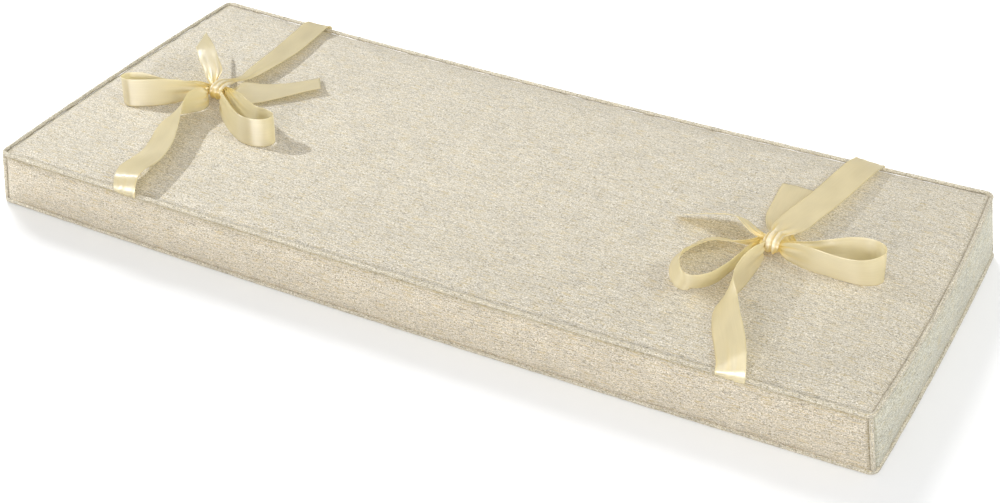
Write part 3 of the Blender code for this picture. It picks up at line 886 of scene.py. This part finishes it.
def welt_outline():
    """Plan points of a welt that runs round a panel, with rounded corners."""
    radius = WELT_CORNER_RADIUS
    reach_x, reach_y = HALF_L - radius, HALF_D - radius
    turns = ((1, -1, -90), (1, 1, 0), (-1, 1, 90), (-1, -1, 180))
    points = []
    for number, (side, end, start) in enumerate(turns):
        for angle in np.radians(start + np.linspace(0, 90, WELT_CORNER_POINTS)):
            x, y = side * reach_x + radius * math.cos(angle), end * reach_y + radius * math.sin(angle)
            points.append((x, y))
        next_side, next_end, next_start = turns[(number + 1) % 4]
        angle = math.radians(next_start)
        here = np.array(points[-1])
        x, y = next_side * reach_x + radius * math.cos(angle), next_end * reach_y + radius * math.sin(angle)
        goal = np.array((x, y))
        steps = round(np.linalg.norm(goal - here) / WELT_STEP)
        points += [tuple(here + (goal - here) * n / steps) for n in range(1, steps)]
    return np.array(points)


def sweep_cord(name, centres, closed, material, seed):
    """A covered cord: a round tube, a little uneven, with its cloth's place on each face."""
    rng = np.random.default_rng(seed)
    count = len(centres)
    if closed:
        tangents = np.roll(centres, -1, axis=0) - np.roll(centres, 1, axis=0)
    else:
        tangents = np.gradient(centres, axis=0)
    tangents /= np.linalg.norm(tangents, axis=1)[:, None]
    up = np.array((0.0, 0.0, 1.0)) if closed else np.array((1.0, 0.0, 0.0))
    side = np.cross(tangents, up)
    side /= np.linalg.norm(side, axis=1)[:, None]
    over = np.cross(side, tangents)
    gaps = np.linalg.norm(np.diff(centres, axis=0), axis=1)
    lengths = np.concatenate(([0], np.cumsum(gaps)))
    turn = 2 * math.pi
    waves = sum(np.sin(lengths / wave * 2 * math.pi + rng.uniform(0, turn)) for wave in WELT_WAVES)
    radius = WELT_RADIUS * (1 + WELT_UNEVEN * waves)
    angles = np.linspace(0, turn, WELT_SIDES, endpoint=False)[None, :, None]
    spokes = side[:, None] * np.cos(angles) + over[:, None] * np.sin(angles)
    points = (centres[:, None] + spokes * radius[:, None, None]).reshape(-1, 3)
    faces, flat = [], []
    around = turn * WELT_RADIUS / WELT_SIDES
    for row in range(count if closed else count - 1):
        far = (row + 1) % count
        start = lengths[row]
        stop = start + (gaps[row] if row < len(gaps) else WELT_STEP)
        for n in range(WELT_SIDES):
            m = (n + 1) % WELT_SIDES
            near_first, far_first = row * WELT_SIDES, far * WELT_SIDES
            faces.append((near_first + n, near_first + m, far_first + m, far_first + n))
            low, high = n * around, (n + 1) * around
            flat += [(start, low), (start, high), (stop, high), (stop, low)]
    if not closed:
        ring = np.arange(WELT_SIDES)
        faces += [tuple(ring[::-1]), tuple(ring + (count - 1) * WELT_SIDES)]
        flat += [(0.0, 0.0)] * (2 * WELT_SIDES)
    obj = new_object(name, points, faces, material)
    weave_map(obj.data, flat)
    vertex_tint(obj.data, "painted_shade", np.ones((len(points), 3)))
    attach(obj, "root")
    return obj


def build_welts():
    """The welts round the two panels, and the four up the corners of the boxing."""
    cloth = cloth_material(*WELT_CLOTH)
    cords = []
    outline = welt_outline()
    rounds = (("welt_top", THICK), ("welt_bottom", BOTTOM_WELT_HEIGHT))
    for seed, (name, height) in enumerate(rounds):
        path = np.column_stack((outline, np.full(len(outline), height)))
        cord = sweep_cord(name + "_cord", cover_points(path), True, cloth, seed)
        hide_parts(name)
        cords.append(cord)
    low = BOTTOM_WELT_HEIGHT + POST_WELT_CLEARANCE
    high = THICK - POST_WELT_CLEARANCE
    heights = np.linspace(low, high, round((high - low) / WELT_STEP) + 1)
    for end_name, end in (("front", -1), ("back", 1)):
        for side_name, side in (("left", -1), ("right", 1)):
            name = f"welt_{end_name}_{side_name}"
            x = side * (HALF_L - POST_WELT_INSET)
            y = end * (HALF_D - POST_WELT_INSET)
            path = np.array([(x, y, z) for z in heights])
            cord = sweep_cord(name + "_cord", cover_points(path), False, cloth, 10 + end + side)
            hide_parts(name)
            cords.append(cord)
    return cords


# ---------------------------------------------------------------- the ribbons


def smooth_rows(rows, step):
    """Rows read from a centripetal Catmull-Rom curve through the table's rows, at most a step apart."""
    table = np.array(rows, float)
    table = np.vstack((2 * table[0] - table[1], table, 2 * table[-1] - table[-2]))
    gaps = np.linalg.norm(np.diff(table[:, :3], axis=0), axis=1)
    knots = np.concatenate(([0], np.cumsum(np.sqrt(gaps))))
    result = [table[1]]
    for i in range(1, len(table) - 2):
        t0, t1, t2, t3 = knots[i - 1 : i + 3]
        p0, p1, p2, p3 = table[i - 1 : i + 3]
        count = max(1, math.ceil(gaps[i] / step))
        for n in range(1, count + 1):
            t = t1 + (t2 - t1) * n / count
            a1 = p0 + (p1 - p0) * (t - t0) / (t1 - t0)
            a2 = p1 + (p2 - p1) * (t - t1) / (t2 - t1)
            a3 = p2 + (p3 - p2) * (t - t2) / (t3 - t2)
            b1 = a1 + (a2 - a1) * (t - t0) / (t2 - t0)
            b2 = a2 + (a3 - a2) * (t - t1) / (t3 - t1)
            result.append(b1 + (b2 - b1) * (t - t1) / (t2 - t1))
    return np.array(result)


def soften(values, passes):
    """Averages each row with its neighbours, and keeps the two ends."""
    for _ in range(passes):
        middle = (values[:-2] + 2 * values[1:-1] + values[2:]) / 4
        values = np.concatenate((values[:1], middle, values[-1:]))
    return values


def ribbon_frames(rows, knot, step):
    """Centre, tangent, across direction and width of each row of a ribbon, in metres."""
    table = smooth_rows(np.array(rows, float), step / MM)
    offset = np.array((knot[0], knot[1], THICK / MM))
    centres = soften((table[:, :3] + offset) * MM, 2)
    tangents = soften(np.gradient(centres, axis=0), 2)
    tangents /= np.linalg.norm(tangents, axis=1)[:, None]
    turn, lift = np.radians(table[:, 3]), np.radians(table[:, 4])
    across = np.stack((np.cos(lift) * np.cos(turn), np.cos(lift) * np.sin(turn), np.sin(lift)), axis=1)
    across -= np.sum(across * tangents, axis=1)[:, None] * tangents
    across = soften(across / np.linalg.norm(across, axis=1)[:, None], 2)
    across /= np.linalg.norm(across, axis=1)[:, None]
    return centres, tangents, across, table[:, 5] * MM


def wrap_share(centres, across, knot):
    """1 where a ribbon goes round the outside of its knot, and 0 elsewhere."""
    middle = np.array((knot[0], knot[1], THICK / MM + KNOT_HEIGHT)) * MM
    near = np.clip((WRAP_REACH - np.linalg.norm(centres - middle, axis=1)) / WRAP_FADE, 0, 1)
    flat = np.clip((abs(across[:, 0]) - WRAP_FLAT[0]) / WRAP_FLAT[1], 0, 1)
    return soften(near * flat, 2)


def ribbon_relief(lengths, widths, wrap, high, place, seed):
    """How far each point stands off the plain strip, and how much painted golden shade and painted cream
    highlight it takes.

    The ribbon is gathered into folds near the knot, swells where it goes round it, and has a soft camber
    elsewhere. Golden shade is painted in the folds' valleys, where it enters the knot and low on the wrap,
    and cream highlights on the wrap's crests above the painted shade height.
    """
    rng = np.random.default_rng(seed)
    across = place[None, :]
    gather = soften(np.clip(1 - widths / RIBBON_WIDTH, 0, 1), GATHER_PASSES)
    depth = FOLD_DEPTH + (WRAP_FOLD_DEPTH - FOLD_DEPTH) * wrap
    depth = depth * np.clip(gather / FULL_GATHER, 0, 1) ** FOLD_EASE
    drift = FOLD_DRIFT * np.sin(lengths / FOLD_WAVE + rng.uniform(0, 6)) + rng.uniform(0, 6)
    folds = np.cos(2 * math.pi * FOLD_COUNT * across / 2 + drift[:, None])
    fine = np.cos(2 * math.pi * FINE_FOLD_COUNT * across / 2 - FINE_FOLD_DRIFT * drift[:, None])
    folds += FINE_FOLD_SHARE * fine
    camber = CAMBER * np.sin(lengths / CAMBER_WAVE + rng.uniform(0, 6))[:, None] * (1 - across**2)
    barrel = WRAP_SWELL * wrap[:, None] * (1 - WRAP_ROUND * abs(across) ** 3)
    painted_valley_shade = np.clip(-folds - VALLEY_EDGE, 0, 1) * np.clip(gather / VALLEY_GATHER, 0, 1)[:, None]
    mouth_painted_shade = np.clip((MOUTH[0] - widths / RIBBON_WIDTH) / MOUTH[1], 0, 1) * (1 - wrap)
    painted_valley_shade = np.maximum(painted_valley_shade, mouth_painted_shade[:, None])
    painted_crest_highlight = np.clip(folds + CREST_EDGE, 0, 1) * (wrap * high)[:, None]
    painted_valley_shade = np.maximum(painted_valley_shade, (wrap * (1 - high))[:, None])
    return depth[:, None] * folds / FOLD_RANGE + camber + barrel, painted_valley_shade, painted_crest_highlight


def build_ribbon(name, rows, knot, cut, painted_shade_height, seed, material):
    """One satin tie: gathered into its knot, with a slanted free end."""
    centres, tangents, across, widths = ribbon_frames(rows, knot, RIBBON_STEP)
    lengths = np.concatenate(([0], np.cumsum(np.linalg.norm(np.diff(centres, axis=0), axis=1))))
    fade = np.clip(1 - (lengths[-1] - lengths) / (2 * cut * MM), 0, 1)
    place = np.linspace(-1, 1, RIBBON_COLUMNS + 1)
    normals = np.cross(tangents, across)
    wrap = wrap_share(centres, across, knot)
    # above the painted shade height the wrap's crests take painted highlights, below it painted shade
    high = np.clip((centres[:, 2] - THICK - painted_shade_height * MM) / PAINTED_SHADE_FADE, 0, 1)
    relief, painted_valley_shade, painted_crest_highlight = ribbon_relief(lengths, widths, wrap, high, place, seed)
    widths = widths * (1 + WRAP_WIDENING * wrap)
    slant = tangents[:, None] * (cut * MM / 2 * place[None, :] * fade[:, None])[:, :, None]
    points = (
        centres[:, None]
        + across[:, None] * (widths[:, None] / 2 * place[None, :])[:, :, None]
        + slant
        + normals[:, None] * relief[:, :, None]
    )
    size = points.shape[:2]
    number = np.arange(size[0] * size[1]).reshape(size)
    quads = (number[:-1, :-1], number[:-1, 1:], number[1:, 1:], number[1:, :-1])
    faces = np.stack(quads, axis=-1).reshape(-1, 4)
    obj = new_object(name + "_satin", points.reshape(-1, 3), faces, material)
    flat = np.stack(np.broadcast_arrays(lengths[:, None], place[None, :] * RIBBON_WIDTH / 2), axis=-1)
    weave_map(obj.data, flat.reshape(-1, 2)[faces.ravel()])
    edge = np.broadcast_to(np.clip((abs(place) - SELVEDGE[0]) / SELVEDGE[1], 0, 1)[None, :], size)
    vertex_value(obj.data, "selvedge", edge.ravel())
    # the painted golden shade of the folds and the painted cream highlight of the crests
    vertex_value(obj.data, "painted_fold_shade", PAINTED_SHADE_AND_HIGHLIGHT_SHARE * painted_valley_shade.ravel())
    vertex_value(obj.data, "painted_crest_highlight", PAINTED_SHADE_AND_HIGHLIGHT_SHARE * painted_crest_highlight.ravel())
    solidify = obj.modifiers.new("cloth", "SOLIDIFY")
    solidify.thickness = RIBBON_THICK
    solidify.offset = 0.0
    apply_modifiers(obj)
    obj.data.shade_smooth()
    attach(obj, "root")
    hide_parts(name)
    return obj


# ---------------------------------------------------------------- the stage


def build_stage():
    """A plain white ground."""
    material = new_material("ground_white", GROUND_SURFACE)[0]
    corners = [(x * GROUND_REACH, y * GROUND_REACH, 0) for x, y in ((-1, -1), (1, -1), (1, 1), (-1, 1))]
    ground = new_object("ground", corners, [(0, 1, 2, 3)], material)
    return ground


def add_light(name, kind, place, aim, power, colour, **settings):
    """A lamp at a place, turned towards the point that it lights."""
    light = bpy.data.lights.new(name, kind)
    light.energy = power
    light.color = colour
    for setting, value in settings.items():
        setattr(light, setting, value)
    obj = bpy.data.objects.new(name, light)
    obj.location = place
    obj.rotation_euler = (Vector(aim) - Vector(place)).to_track_quat("-Z", "Y").to_euler()
    obj.visible_camera = False
    bpy.context.scene.collection.objects.link(obj)
    return obj


def build_lights(groups):
    """A bright surround, and the lights of the table, each on its own group of pieces."""
    world = bpy.data.worlds.new("studio")
    world.use_nodes = True
    background = world.node_tree.nodes["Background"]
    background.inputs["Color"].default_value = SURROUND_COLOUR
    background.inputs["Strength"].default_value = SURROUND
    bpy.context.scene.world = world
    for name, kind, place, aim, power, colour, form, group in LIGHTS:
        lamp = add_light(name, kind, place, aim, power, colour, **LIGHT_FORMS[form])
        if group:
            lamp.light_linking.receiver_collection = groups[group]
        if form in GLOSS_FORMS:
            lamp.visible_diffuse = False


def build_camera():
    """A level camera, to the front right and above."""
    camera = bpy.data.cameras.new("camera")
    camera.lens = CAMERA_LENS
    camera.sensor_width = 36.0
    camera.clip_end = 50.0
    obj = bpy.data.objects.new("camera", camera)
    azimuth, elevation = math.radians(CAMERA_AZIMUTH), math.radians(CAMERA_ELEVATION)
    level = math.cos(elevation)
    back = Vector((math.sin(azimuth) * level, -math.cos(azimuth) * level, math.sin(elevation)))
    obj.location = Vector(CAMERA_TARGET) + back * CAMERA_DISTANCE
    obj.rotation_euler = (-back).to_track_quat("-Z", "Y").to_euler()
    bpy.context.scene.collection.objects.link(obj)
    bpy.context.scene.camera = obj


def main():
    build_camera()
    names = ("dressed", "ribbons", "upright", "right_bow", "floor")
    groups = {name: bpy.data.collections.new(name) for name in names}
    groups["floor"].objects.link(build_stage())
    build_lights(groups)
    groups["dressed"].objects.link(build_cover())
    for cord in build_welts():
        groups["dressed"].objects.link(cord)
    satin = satin_material("satin_pale_yellow")
    for name, rows, knot, cut, painted_shade_height, seed in TIES:
        tie = build_ribbon(name, rows, knot, cut, painted_shade_height, seed, satin)
        groups["dressed"].objects.link(tie)
        groups["ribbons"].objects.link(tie)
        if name == "left_front_tie":
            groups["upright"].objects.link(tie)
        if knot is RIGHT_KNOT:
            groups["right_bow"].objects.link(tie)
    bpy.context.scene.view_settings.view_transform = "Standard"


main()
